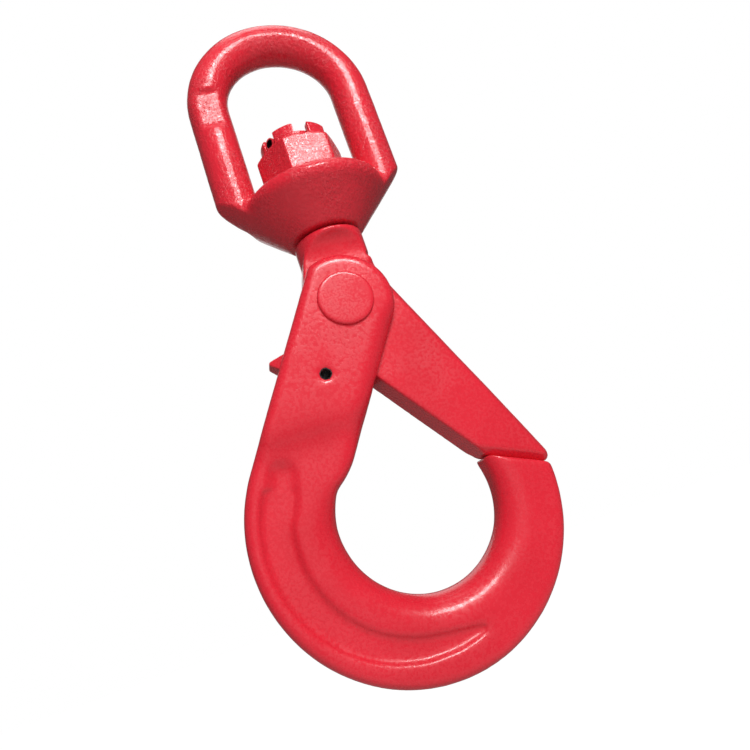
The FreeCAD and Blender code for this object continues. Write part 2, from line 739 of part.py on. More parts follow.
    holes = new_sketch(body, "XZ_Plane", "pin_hole_circles")
    circle(holes, PIVOT, dim("load_pin_dia") / 2 + 0.03)
    circle(holes, TRIGGER, dim("trigger_pin_dia") / 2 + 0.03)
    pocket(body, holes, fork + 10, "pin_holes")
    doc.recompute()
    return body


def web_points():
    """The sunk web's outline: widest at its round start, then narrowing round the bowl to a point."""
    start_dir, turn = dim("web_start"), dim("web_turn")
    inner, outer = dim("web_inner"), dim("web_outer")
    own = shift(OUTER, -dim("web_shift"), 0)
    first_in = polar(OUTER, inner, start_dir)
    first_out = polar(own, outer, start_dir)
    straight = polar(OUTER, inner, turn)
    end_in = shift(straight, dim("web_run") * -sine(turn), dim("web_run") * cosine(turn))
    end_out = (end_in[0], own[1] - root(outer * outer - (end_in[0] - own[0]) * (end_in[0] - own[0])))
    return [
        first_out,
        end_out + (outer,),
        end_in,
        straight,
        first_in + (-inner,),
    ]


# ---------------------------------------------------------------- load pin and trigger


def make_load_pin():
    body = new_body("load_pin")
    profile = new_sketch(body, "XY_Plane", "pin_profile")
    shank = dim("load_pin_dia") / 2
    head = dim("load_head_dia") / 2
    cheek = dim("fork_thick") / 2
    top = cheek + dim("load_head_proud")
    outline(profile, [
        (0, -top), (head - 1, -top), (head, -top + 1, 1.0), (head, -cheek), (shank, -cheek),
        (shank, cheek), (head, cheek), (head, top - 1), (head - 1, top, 1.0), (0, top),
    ])
    turned(body, profile, "pin")
    move(body, x=PIVOT[0], z=PIVOT[1])
    return body


def make_trigger():
    body = new_body("trigger")
    boss = dim("trigger_boss")
    tab = (dim("tab_x"), drop(dim("tab_drop")))
    nose_high = polar(PIVOT, dim("hub_rad") + 1.0, 214.6)
    nose_low = shift(nose_high, 1.2, -4.0)
    profile = new_sketch(body, "XZ_Plane", "trigger_outline")
    boss_left = polar(TRIGGER, boss, 166.0)
    boss_right = polar(TRIGGER, boss, 5.0)
    outline(profile, [
        nose_high,
        shift(nose_high, -4.5, 1.4),
        shift(tab, 6.0, 1.6),
        shift(tab, 0.7, 0.6),
        shift(tab, 0.4, -1.0) + (dim(0.9),),
        shift(tab, 3.6, -3.9),
        boss_left,
        boss_right + (boss, True),
        nose_low,
    ])
    pad(body, profile, "trigger_thick", "trigger_plate")
    room = new_sketch(body, "XZ_Plane", "spring_room_outline")
    circle(room, TRIGGER, boss + 0.6)
    pocket(body, room, "spring_room", "spring_room")
    hole = new_sketch(body, "XZ_Plane", "trigger_hole_circle")
    circle(hole, TRIGGER, dim("trigger_pin_dia") / 2 + dim("pin_play"))
    pocket(body, hole, dim("trigger_thick") + 10, "trigger_hole")
    return body


def make_spring():
    """The torsion spring: a close coil about the trigger's pin with two straight legs."""
    body = new_body("trigger_spring")
    wire, rad, turns = dim("spring_wire"), dim("spring_rad"), dim("spring_turns")
    pitch = wire + dim("spring_gap")
    section = new_sketch(body, "XZ_Plane", "wire_section")
    circle(section, (rad, 0), wire / 2)
    coil = body.newObject("PartDesign::AdditiveHelix", "coil")
    coil.Profile = section
    coil.ReferenceAxis = (section, ["V_Axis"])
    coil.Mode = "pitch-turns-angle"
    coil.Angle = 0
    coil.setExpression("Pitch", pitch.text)
    coil.setExpression("Turns", turns.text)
    doc.recompute()
    for name, height, length, ahead in (
        ("lower_leg", dim(0), "spring_leg_low", False),
        ("upper_leg", pitch * turns, "spring_leg_high", True),
    ):
        foot = new_sketch(body, "XZ_Plane", name + "_section")
        circle(foot, (rad, height), wire / 2)
        leg = pad(body, foot, length, name, symmetric=False)
        leg.Reversed = ahead
    lean = math.radians(sheet.get("shank_lean"))
    towards_back = FreeCAD.Vector(-math.cos(lean), 0, math.sin(lean))
    up_the_shank = FreeCAD.Vector(math.sin(lean), 0, math.cos(lean))
    turn = FreeCAD.Rotation(towards_back, up_the_shank, FreeCAD.Vector(0, 1, 0), "XYZ")
    body.Placement = FreeCAD.Placement(FreeCAD.Vector(), turn)
    move(body, x=TRIGGER[0], y=-(pitch * turns / 2), z=TRIGGER[1])
    return body


def main():
    bail = make_bail()
    washer = make_washer()
    nut = make_nut()
    nut_pin = make_spring_pin("nut_spring_pin", "nut_pin_dia", "nut_pin_length")
    arm, half_arm = make_latch_arm()
    finish_latch_arm(arm, half_arm)
    hook = make_hook_body()
    load_pin = make_load_pin()
    trigger = make_trigger()
    trigger_pin = make_spring_pin(
        "trigger_spring_pin", "trigger_pin_dia", dim("fork_thick") - dim("trigger_pin_sunk") * 2
    )
    move(trigger_pin, x=TRIGGER[0], z=TRIGGER[1])
    turn = dim("nut_turn") + 120
    nut_pin.Placement = FreeCAD.Placement(
        FreeCAD.Vector(), FreeCAD.Rotation(FreeCAD.Vector(0, 0, 1), turn.value)
    )
    nut_pin.setExpression("Placement.Rotation.Angle", f"{turn.text} * 1 deg")
    move(nut_pin, z=SLOT_BOTTOM + dim("nut_pin_above"))
    spring = make_spring()
    doc.recompute()
    parts = [bail, washer, nut, nut_pin, arm, hook, load_pin, trigger, trigger_pin, spring]
    for thing in doc.Objects:
        if "Invalid" in thing.State or "Error" in thing.State:
            raise RuntimeError(f"{thing.Label} did not recompute")
    for part in parts:
        if part.Shape.isNull() or not part.Shape.isValid() or len(part.Shape.Solids) != 1:
            raise RuntimeError(f"{part.Label} has no single valid solid")
        part.Shape.exportStep(f"parts/{part.Label}.step")
        print(part.Label, round(part.Shape.Volume), "mm3")


main()
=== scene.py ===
"""A forged swivel hook for chain slings, painted red all over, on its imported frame.

Each sub-assembly is a class that takes its nodes' shapes, softens them as forging and thick paint do,
and dresses them. The skins follow the frame's shapes and add low lumps and dents. In some places they
also leave them, mostly inwards and by up to about 3.4 mm. They round the bowl and the shank like a bar,
thin the bowl's tip, draw the latch arm's outer edge in, sink a dimple where the web starts, narrow the
thumb tab and let the paint close in on the trigger's spring pin.
"""

import json
import logging
import math
from dataclasses import dataclass, field
from enum import Enum
from typing import Callable

import bmesh
import bpy
from mathutils import Matrix, Vector


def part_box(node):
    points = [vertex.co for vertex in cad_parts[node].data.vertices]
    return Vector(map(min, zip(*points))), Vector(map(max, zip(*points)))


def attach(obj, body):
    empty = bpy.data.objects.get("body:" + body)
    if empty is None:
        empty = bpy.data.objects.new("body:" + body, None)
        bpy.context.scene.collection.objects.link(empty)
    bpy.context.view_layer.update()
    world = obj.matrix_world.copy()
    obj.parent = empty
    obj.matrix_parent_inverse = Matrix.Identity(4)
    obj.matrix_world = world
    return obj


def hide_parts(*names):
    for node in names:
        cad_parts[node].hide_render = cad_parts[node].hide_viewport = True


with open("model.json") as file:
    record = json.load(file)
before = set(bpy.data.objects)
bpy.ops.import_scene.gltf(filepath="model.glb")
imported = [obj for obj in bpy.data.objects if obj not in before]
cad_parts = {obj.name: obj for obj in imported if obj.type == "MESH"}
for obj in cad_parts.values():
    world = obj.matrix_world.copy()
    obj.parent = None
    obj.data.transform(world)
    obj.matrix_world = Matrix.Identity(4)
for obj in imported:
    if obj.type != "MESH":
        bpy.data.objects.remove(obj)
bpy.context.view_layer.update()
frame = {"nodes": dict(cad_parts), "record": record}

LOG = logging.getLogger("swivel_hook")
MM = 0.001


class Surface(Enum):
    """How rough a piece is under its paint."""

    COARSE = "coarse forging"
    FINE = "fine forging"
    MACHINED = "machined"


@dataclass(frozen=True)
class SkinSettings:
    """Sizes that turn a node's hard shape into a painted forging's skin, in millimetres.

    Attributes:
        voxel: the spacing of the even mesh.
        rounds: how many times its corners are smoothed.
        lump_height: the height of the low, wide lumps.
        lump_size: their width.
        dent_depth: the depth of the small dents.
        dent_size: their width.
        seed: which pattern of lumps and dents is used.
    """

    voxel: float
    rounds: int
    lump_height: float
    lump_size: float
    dent_depth: float
    dent_size: float
    seed: int


SKINS: dict[Surface, SkinSettings] = {
    Surface.COARSE: SkinSettings(0.70, 5, 0.24, 9.0, 0.12, 2.6, 11),
    Surface.FINE: SkinSettings(0.75, 5, 0.20, 11.0, 0.05, 3.4, 17),
    Surface.MACHINED: SkinSettings(0.42, 3, 0.05, 6.0, 0.02, 2.2, 23),
}


# ------------------------------------------------------------------ node tree helpers


class TreeMaker:
    """Adds nodes to one tree and wires them in the order in which they are named."""

    def __init__(self, tree: bpy.types.NodeTree) -> None:
        """Keep the tree.

        Args:
            tree: the node tree to fill.
        """
        self.tree = tree
        self.column = 0

    def add(self, kind: str, **settings: object) -> bpy.types.Node:
        """Add a node.

        Args:
            kind: the node's type name.
            **settings: its properties.

        Returns:
            The new node.
        """
        node = self.tree.nodes.new(kind)
        node.location = (self.column * 190, 0)
        self.column += 1
        for name, value in settings.items():
            setattr(node, name, value)
        return node

    def wire(self, start: bpy.types.NodeSocket, end: bpy.types.NodeSocket) -> None:
        """Join two sockets."""
        self.tree.links.new(start, end)

    def sum_of(
        self, kind: str, left: object, right: object, clamp: bool = False
    ) -> bpy.types.NodeSocket:
        """Work out one sum with a math node.

        Args:
            kind: the operation.
            left: a socket or a number.
            right: a socket or a number.
            clamp: whether the result stays between 0 and 1.

        Returns:
            The result's socket.
        """
        node = self.add("ShaderNodeMath", operation=kind, use_clamp=clamp)
        for place, value in enumerate((left, right)):
            if isinstance(value, bpy.types.NodeSocket):
                self.wire(value, node.inputs[place])
            else:
                node.inputs[place].default_value = value
        return node.outputs[0]

    def step(
        self, value: bpy.types.NodeSocket, low: float, high: float, top: float = 1.0
    ) -> bpy.types.NodeSocket:
        """A smooth step from 0 at low to top at high.

        Args:
            value: what is read.
            low: where the step starts.
            high: where it ends.
            top: the result past the end.

        Returns:
            The result's socket.
        """
        node = self.add("ShaderNodeMapRange", interpolation_type="SMOOTHSTEP")
        self.wire(value, node.inputs["Value"])
        node.inputs["From Min"].default_value = low
        node.inputs["From Max"].default_value = high
        node.inputs["To Max"].default_value = top
        return node.outputs["Result"]

    def mix(self, share: object, first: object, second: object) -> bpy.types.NodeSocket:
        """Mix two colours.

        Args:
            share: how much of the second, a socket or a number.
            first: a colour or a socket.
            second: a colour or a socket.

        Returns:
            The mixed colour's socket.
        """
        node = self.add("ShaderNodeMix", data_type="RGBA")
        for name, value in ((0, share), (6, first), (7, second)):
            if isinstance(value, bpy.types.NodeSocket):
                self.wire(value, node.inputs[name])
            else:
                node.inputs[name].default_value = value
        return node.outputs[2]


def coordinates(maker: TreeMaker) -> bpy.types.NodeSocket:
    """The object's own coordinates in a material.

    Args:
        maker: the material's tree.

    Returns:
        The socket that gives them.
    """
    return maker.add("ShaderNodeTexCoord").outputs["Object"]


# ------------------------------------------------------------------ shader groups


def forged_relief_group() -> bpy.types.NodeTree:
    """The relief of paint over a forging: shallow scale pits, orange peel and low dents.

    Returns:
        A shader group with Height and Pits outputs.
    """
    group = bpy.data.node_groups.new("forged_relief", "ShaderNodeTree")
    face = group.interface
    face.new_socket("Vector", in_out="INPUT", socket_type="NodeSocketVector")
    defaults = {"Pit Scale": 900.0, "Pit Depth": 1.0, "Peel Scale": 420.0, "Peel Depth": 0.3}
    for name, value in defaults.items():
        face.new_socket(name, in_out="INPUT", socket_type="NodeSocketFloat").default_value = value
    face.new_socket("Height", in_out="OUTPUT", socket_type="NodeSocketFloat")
    face.new_socket("Pits", in_out="OUTPUT", socket_type="NodeSocketFloat")
    maker = TreeMaker(group)
    given = maker.add("NodeGroupInput")
    out = maker.add("NodeGroupOutput")

    patches = maker.add("ShaderNodeTexNoise")
    maker.wire(given.outputs["Vector"], patches.inputs["Vector"])
    patches.inputs["Scale"].default_value = 62.0
    patches.inputs["Detail"].default_value = 3.0
    where = maker.step(patches.outputs["Fac"], 0.38, 0.62)

    pits = maker.add("ShaderNodeTexNoise")
    maker.wire(given.outputs["Vector"], pits.inputs["Vector"])
    maker.wire(given.outputs["Pit Scale"], pits.inputs["Scale"])
    pits.inputs["Detail"].default_value = 4.0
    pits.inputs["Roughness"].default_value = 0.62
    hollows = maker.step(pits.outputs["Fac"], 0.40, 0.60)
    depth = maker.sum_of("MULTIPLY", hollows, maker.sum_of("MULTIPLY_ADD", where, 0.7))
    maker.tree.nodes[-1].inputs[2].default_value = 0.3
    peel = maker.add("ShaderNodeTexNoise")
    maker.wire(given.outputs["Vector"], peel.inputs["Vector"])
    maker.wire(given.outputs["Peel Scale"], peel.inputs["Scale"])
    peel.inputs["Detail"].default_value = 2.0

    pit_height = maker.sum_of("MULTIPLY", depth, given.outputs["Pit Depth"])
    peel_height = maker.sum_of("MULTIPLY", peel.outputs["Fac"], given.outputs["Peel Depth"])
    maker.wire(maker.sum_of("ADD", pit_height, peel_height), out.inputs["Height"])
    maker.wire(maker.sum_of("MULTIPLY", depth, 1.0, clamp=True), out.inputs["Pits"])
    return group


def edge_wear_and_hollow_shade_group() -> bpy.types.NodeTree:
    """Where paint thins on edges, and where hollows get a painted shade.

    Returns:
        A shader group with Edge and Hollow outputs; Hollow is the painted shade mask.
    """
    group = bpy.data.node_groups.new("paint_edges_and_hollow_shade", "ShaderNodeTree")
    face = group.interface
    face.new_socket("Vector", in_out="INPUT", socket_type="NodeSocketVector")
    face.new_socket("Spread", in_out="INPUT", socket_type="NodeSocketFloat").default_value = 0.12
    face.new_socket("Edge", in_out="OUTPUT", socket_type="NodeSocketFloat")
    face.new_socket("Hollow", in_out="OUTPUT", socket_type="NodeSocketFloat")
    maker = TreeMaker(group)
    given = maker.add("NodeGroupInput")
    out = maker.add("NodeGroupOutput")
    bend = maker.add("ShaderNodeNewGeometry").outputs["Pointiness"]
    broken = maker.add("ShaderNodeTexNoise")
    maker.wire(given.outputs["Vector"], broken.inputs["Vector"])
    broken.inputs["Scale"].default_value = 260.0
    broken.inputs["Detail"].default_value = 4.0
    swing = maker.sum_of("SUBTRACT", broken.outputs["Fac"], 0.5)
    jitter = maker.sum_of("MULTIPLY", swing, given.outputs["Spread"])
    value = maker.sum_of("ADD", bend, jitter)
    maker.wire(maker.step(value, 0.52, 0.60), out.inputs["Edge"])
    # painted shade: concave places found by pointiness get a mask that darkens them
    hollow = maker.step(value, 0.42, 0.49)
    maker.wire(maker.sum_of("SUBTRACT", 1.0, hollow, clamp=True), out.inputs["Hollow"])
    return group


# ------------------------------------------------------------------ finishes


@dataclass(frozen=True)
class Bore:
    """The hollow of a pin, where a painted shade goes.

    Attributes:
        centre: the middle of the pin, in metres.
        turn: the pin's turn about +Z from +Y, in degrees.
        radius: the hollow's radius, in metres.
    """

    centre: tuple[float, float, float]
    turn: float
    radius: float

    def inside(self, maker: TreeMaker, place: bpy.types.NodeSocket) -> bpy.types.NodeSocket:
        """A mask of 1 in the hollow and 0 on the pin's ends.

        Args:
            maker: the material's tree.
            place: the piece's own coordinates.

        Returns:
            The mask's socket.
        """
        turned = maker.add("ShaderNodeVectorRotate", rotation_type="Z_AXIS")
        turned.inputs["Center"].default_value = self.centre
        turned.inputs["Angle"].default_value = -math.radians(self.turn)
        maker.wire(place, turned.inputs["Vector"])
        moved = maker.add("ShaderNodeVectorMath", operation="SUBTRACT")
        maker.wire(turned.outputs["Vector"], moved.inputs[0])
        moved.inputs[1].default_value = self.centre
        flat = maker.add("ShaderNodeVectorMath", operation="MULTIPLY")
        maker.wire(moved.outputs[0], flat.inputs[0])
        flat.inputs[1].default_value = (1.0, 0.0, 1.0)
        length = maker.add("ShaderNodeVectorMath", operation="LENGTH")
        maker.wire(flat.outputs[0], length.inputs[0])
        wall = maker.step(length.outputs["Value"], self.radius * 1.01, self.radius * 1.08)
        return maker.sum_of("SUBTRACT", 1.0, wall, clamp=True)


@dataclass(frozen=True)
class RedPaint:
    """Thick gloss red paint over a surface.

    Attributes:
        name: the material's name.
        colour: the paint's middle colour.
        deep_tone_and_shade: the colour where it lies thick, and the painted shade in hollows.
        pale: the colour where it is thin over an edge.
        bore_shade: the near-black painted shade inside a bore.
        roughness: the gloss where the paint lies smooth.
        pit_scale: how closely the pits lie, to the metre.
        pit_depth: relief of the pits, as a share of the bump's distance.
        peel_depth: relief of the orange peel.
        bump: the bump's distance, in metres.
        hollow_shade_share: how far the hollows are darkened with the painted shade.
        on_edges: how far the edges take the pale colour.
        on_pits: how far the pits take the pale colour and lose gloss.
        coat: the weight of the clear coat.
        coat_roughness: the gloss of the clear coat.
        bore: a hole along the piece, whose inside gets the painted shade.
    """

    name: str
    colour: tuple[float, float, float, float] = (0.80, 0.020, 0.040, 1.0)
    deep_tone_and_shade: tuple[float, float, float, float] = (0.62, 0.008, 0.020, 1.0)
    pale: tuple[float, float, float, float] = (0.84, 0.050, 0.070, 1.0)
    bore_shade: tuple[float, float, float, float] = (0.012, 0.003, 0.004, 1.0)
    roughness: float = 0.24
    pit_scale: float = 900.0
    pit_depth: float = 0.9
    peel_depth: float = 0.5
    bump: float = 0.00009
    hollow_shade_share: float = 0.75
    on_edges: float = 0.55
    on_pits: float = 0.16
    coat: float = 0.25
    coat_roughness: float = 0.10
    bore: "Bore | None" = None

    def make(self, relief: bpy.types.NodeTree, edges: bpy.types.NodeTree) -> bpy.types.Material:
        """Build the material.

        Args:
            relief: the shared relief group.
            edges: the shared group of pale edges and painted shade in hollows.

        Returns:
            The finished material.
        """
        material = bpy.data.materials.new(self.name)
        material.use_nodes = True
        maker = TreeMaker(material.node_tree)
        shader = material.node_tree.nodes["Principled BSDF"]
        place = coordinates(maker)

        skin = maker.add("ShaderNodeGroup", node_tree=relief)
        maker.wire(place, skin.inputs["Vector"])
        skin.inputs["Pit Scale"].default_value = self.pit_scale
        skin.inputs["Pit Depth"].default_value = self.pit_depth
        skin.inputs["Peel Depth"].default_value = self.peel_depth
        edge_wear_and_shade = maker.add("ShaderNodeGroup", node_tree=edges)
        maker.wire(place, edge_wear_and_shade.inputs["Vector"])

        cloud = maker.add("ShaderNodeTexNoise")
        maker.wire(place, cloud.inputs["Vector"])
        cloud.inputs["Scale"].default_value = 34.0
        cloud.inputs["Detail"].default_value = 5.0
        thick = maker.step(cloud.outputs["Fac"], 0.40, 0.68, 0.34)
        body = maker.mix(thick, self.colour, self.deep_tone_and_shade)
        # painted shade: concave hollows are darkened towards the shade colour
        hollow = maker.sum_of("MULTIPLY", edge_wear_and_shade.outputs["Hollow"], self.hollow_shade_share)
        shaded = maker.mix(hollow, body, self.deep_tone_and_shade)
        thin = maker.sum_of("MULTIPLY", edge_wear_and_shade.outputs["Edge"], self.on_edges)
        edged = maker.mix(thin, shaded, self.pale)
        pitted = maker.sum_of("MULTIPLY", skin.outputs["Pits"], self.on_pits)
        painted = maker.mix(pitted, edged, self.pale)
        if self.bore:
            # painted shade: the inside of the bore is coloured near-black
            painted = maker.mix(self.bore.inside(maker, place), painted, self.bore_shade)
        maker.wire(painted, shader.inputs["Base Color"])

        dull = maker.sum_of("MULTIPLY", skin.outputs["Pits"], self.on_pits)
        patchy = 0.12
        patch = maker.sum_of("MULTIPLY", cloud.outputs["Fac"], patchy)
        base = self.roughness - patchy / 2
        rough = maker.sum_of("ADD", maker.sum_of("ADD", dull, patch), base, clamp=True)
        maker.wire(rough, shader.inputs["Roughness"])
        shader.inputs["Coat Weight"].default_value = self.coat
        shader.inputs["Coat Roughness"].default_value = self.coat_roughness
        shader.inputs["Specular IOR Level"].default_value = 0.5

        bump = maker.add("ShaderNodeBump")
        bump.inputs["Strength"].default_value = 1.0
        bump.inputs["Distance"].default_value = self.bump
        maker.wire(skin.outputs["Height"], bump.inputs["Height"])
        maker.wire(bump.outputs["Normal"], shader.inputs["Normal"])
        return material


@dataclass(frozen=True)
class OiledSteel:
    """Bare spring steel with an oily grey sheen.

    Attributes:
        name: the material's name.
        colour: the steel's colour.
        stain: the colour of its darker streaks.
        roughness: its middle roughness.
    """

    name: str
    colour: tuple[float, float, float, float] = (0.30, 0.30, 0.32, 1.0)
    stain: tuple[float, float, float, float] = (0.09, 0.075, 0.07, 1.0)
    roughness: float = 0.34

    def make(self, relief: bpy.types.NodeTree) -> bpy.types.Material:
        """Build the material.

        Args:
            relief: the shared relief group.

        Returns:
            The finished material.
        """
        material = bpy.data.materials.new(self.name)
        material.use_nodes = True
        maker = TreeMaker(material.node_tree)
        shader = material.node_tree.nodes["Principled BSDF"]
        place = coordinates(maker)
        streaks = maker.add("ShaderNodeTexNoise")
        maker.wire(place, streaks.inputs["Vector"])
        streaks.inputs["Scale"].default_value = 520.0
        streaks.inputs["Detail"].default_value = 5.0
        share = maker.step(streaks.outputs["Fac"], 0.42, 0.66)
        maker.wire(maker.mix(share, self.colour, self.stain), shader.inputs["Base Color"])
        maker.wire(
            maker.sum_of("ADD", maker.sum_of("MULTIPLY", share, 0.25), self.roughness, clamp=True),
            shader.inputs["Roughness"],
        )
        shader.inputs["Metallic"].default_value = 1.0
        skin = maker.add("ShaderNodeGroup", node_tree=relief)
        maker.wire(place, skin.inputs["Vector"])
        skin.inputs["Pit Scale"].default_value = 2600.0
        bump = maker.add("ShaderNodeBump")
        bump.inputs["Distance"].default_value = 0.00003
        maker.wire(skin.outputs["Height"], bump.inputs["Height"])
        maker.wire(bump.outputs["Normal"], shader.inputs["Normal"])
        return material


@dataclass(frozen=True)
class StudioFloor:
    """A pale, faintly uneven studio floor.

    Attributes:
        name: the material's name.
        colour: its own colour.
        shade: the colour of its slightly darker patches.
        glow: how strongly it is lit in the camera's view alone.
    """

    name: str = "studio_floor"
    colour: tuple[float, float, float, float] = (0.55, 0.55, 0.55, 1.0)
    shade: tuple[float, float, float, float] = (0.48, 0.48, 0.49, 1.0)
    glow: float = 0.9

    def make(self) -> bpy.types.Material:
        """Build the material and return it."""
        material = bpy.data.materials.new(self.name)
        material.use_nodes = True
        maker = TreeMaker(material.node_tree)
        shader = material.node_tree.nodes["Principled BSDF"]
        grain = maker.add("ShaderNodeTexNoise")
        maker.wire(coordinates(maker), grain.inputs["Vector"])
        grain.inputs["Scale"].default_value = 3.0
        share = maker.step(grain.outputs["Fac"], 0.3, 0.7, 0.06)
        maker.wire(maker.mix(share, self.colour, self.shade), shader.inputs["Base Color"])
        shader.inputs["Roughness"].default_value = 0.9
        seen = maker.add("ShaderNodeLightPath")
        shader.inputs["Emission Color"].default_value = (1.0, 1.0, 1.0, 1.0)
        glow = maker.sum_of("MULTIPLY", seen.outputs["Is Camera Ray"], self.glow)
        maker.wire(glow, shader.inputs["Emission Strength"])
        return material


# ------------------------------------------------------------------ skins


def skin_tree() -> bpy.types.NodeTree:
    """The geometry tree that gives a skin its low lumps and dents.

    Returns:
        A tree with Lump Height, Lump Size, Dent Depth, Dent Size, Seed and Material inputs.
    """
    tree = bpy.data.node_groups.new("forged_skin", "GeometryNodeTree")
    face = tree.interface
    face.new_socket("Geometry", in_out="INPUT", socket_type="NodeSocketGeometry")
    for name in ("Lump Height", "Lump Size", "Dent Depth", "Dent Size", "Seed"):
        face.new_socket(name, in_out="INPUT", socket_type="NodeSocketFloat")
    face.new_socket("Material", in_out="INPUT", socket_type="NodeSocketMaterial")
    face.new_socket("Geometry", in_out="OUTPUT", socket_type="NodeSocketGeometry")
    maker = TreeMaker(tree)
    given = maker.add("NodeGroupInput")
    out = maker.add("NodeGroupOutput")
    place = maker.add("GeometryNodeInputPosition").outputs[0]
    normal = maker.add("GeometryNodeInputNormal").outputs[0]

    heights = []
    for size, height in (("Lump Size", "Lump Height"), ("Dent Size", "Dent Depth")):
        noise = maker.add("ShaderNodeTexNoise", noise_dimensions="4D")
        maker.wire(place, noise.inputs["Vector"])
        maker.wire(given.outputs["Seed"], noise.inputs["W"])
        maker.wire(maker.sum_of("DIVIDE", 1.0, given.outputs[size]), noise.inputs["Scale"])
        noise.inputs["Detail"].default_value = 2.0
        swing = maker.sum_of("SUBTRACT", noise.outputs[0], 0.62)
        heights.append(maker.sum_of("MULTIPLY", swing, given.outputs[height]))
    total = maker.sum_of("ADD", heights[0], heights[1])
    push = maker.add("ShaderNodeVectorMath", operation="SCALE")
    maker.wire(normal, push.inputs[0])
    maker.wire(total, push.inputs["Scale"])
    moved = maker.add("GeometryNodeSetPosition")
    maker.wire(given.outputs["Geometry"], moved.inputs["Geometry"])
    maker.wire(push.outputs[0], moved.inputs["Offset"])
    smooth = maker.add("GeometryNodeSetShadeSmooth")
    maker.wire(moved.outputs[0], smooth.inputs["Geometry"])
    real = maker.add("GeometryNodeRealizeInstances")
    maker.wire(smooth.outputs[0], real.inputs[0])
    dressed = maker.add("GeometryNodeSetMaterial")
    maker.wire(real.outputs[0], dressed.inputs["Geometry"])
    maker.wire(given.outputs["Material"], dressed.inputs["Material"])
    maker.wire(dressed.outputs[0], out.inputs[0])
    return tree


